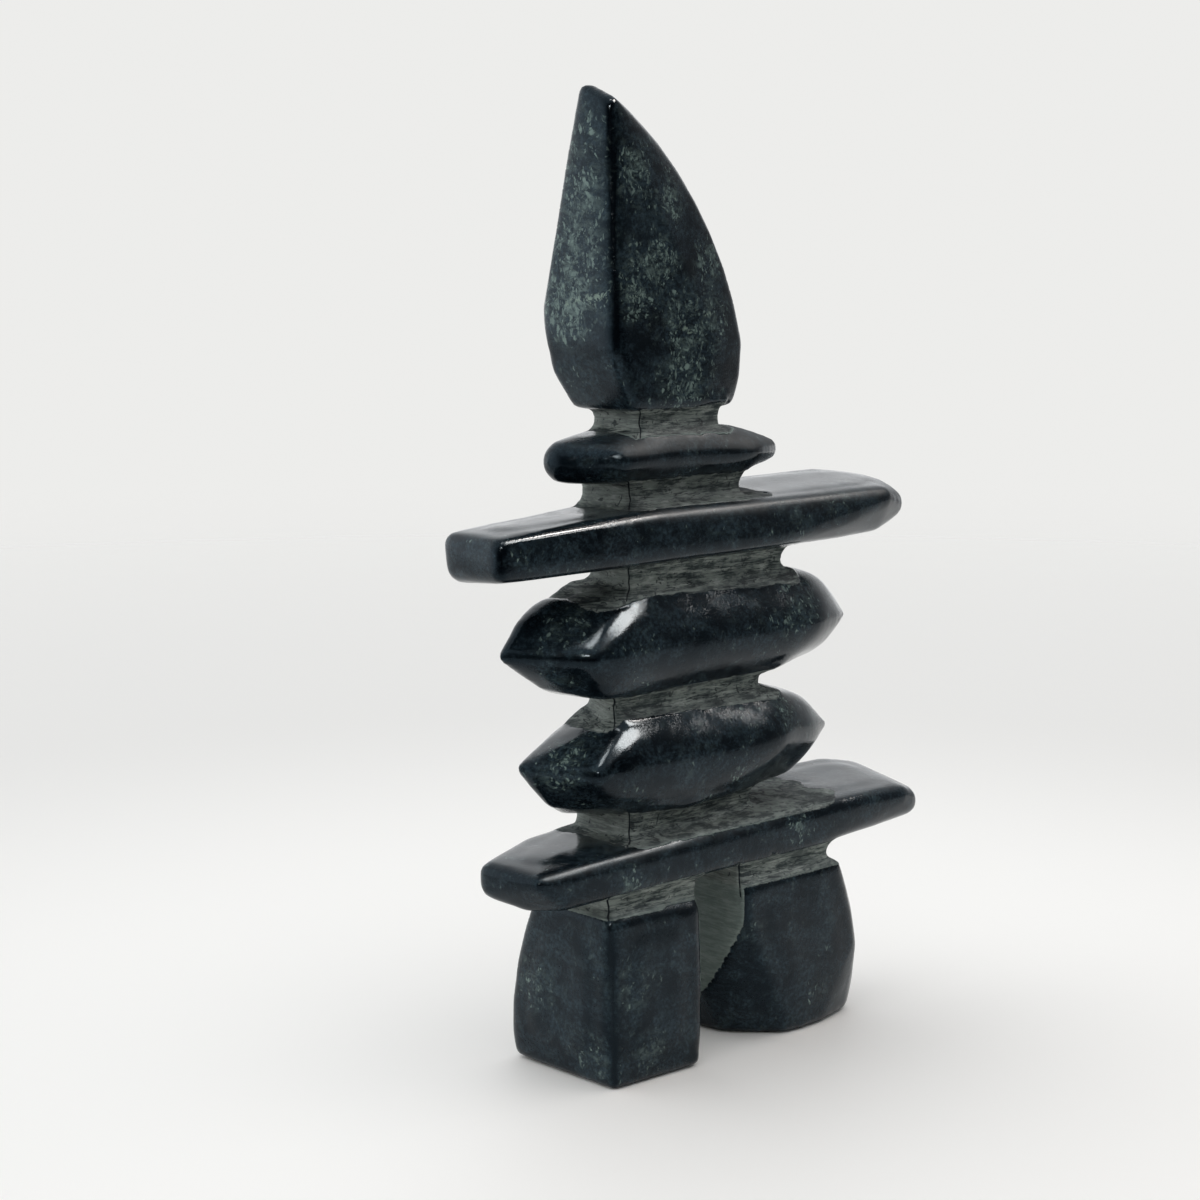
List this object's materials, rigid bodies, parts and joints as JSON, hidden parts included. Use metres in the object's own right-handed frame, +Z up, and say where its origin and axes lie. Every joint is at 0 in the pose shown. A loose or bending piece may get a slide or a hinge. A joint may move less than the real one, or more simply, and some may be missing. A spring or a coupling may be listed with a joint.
{
  "type": "stone cairn",
  "caption": "Inuksuk-shaped stone cairn carved from one dark serpentine block: legs, slabs, lens-shaped stones and a leaf-shaped head.",
  "frame": {"origin": "middle of the footprint box, on the floor under the feet", "axes": "+Z up, -Y out of the front, +X along the arms to the viewer's right when facing the front"},
  "size_m": [0.1258, 0.031, 0.191],
  "materials": {
    "serpentine": "polished near-black green serpentine, left matte and pale where the grooves were filed"
  },
  "bodies": {
    "root": {"cairn": "serpentine"}
  },
  "joints": []
}
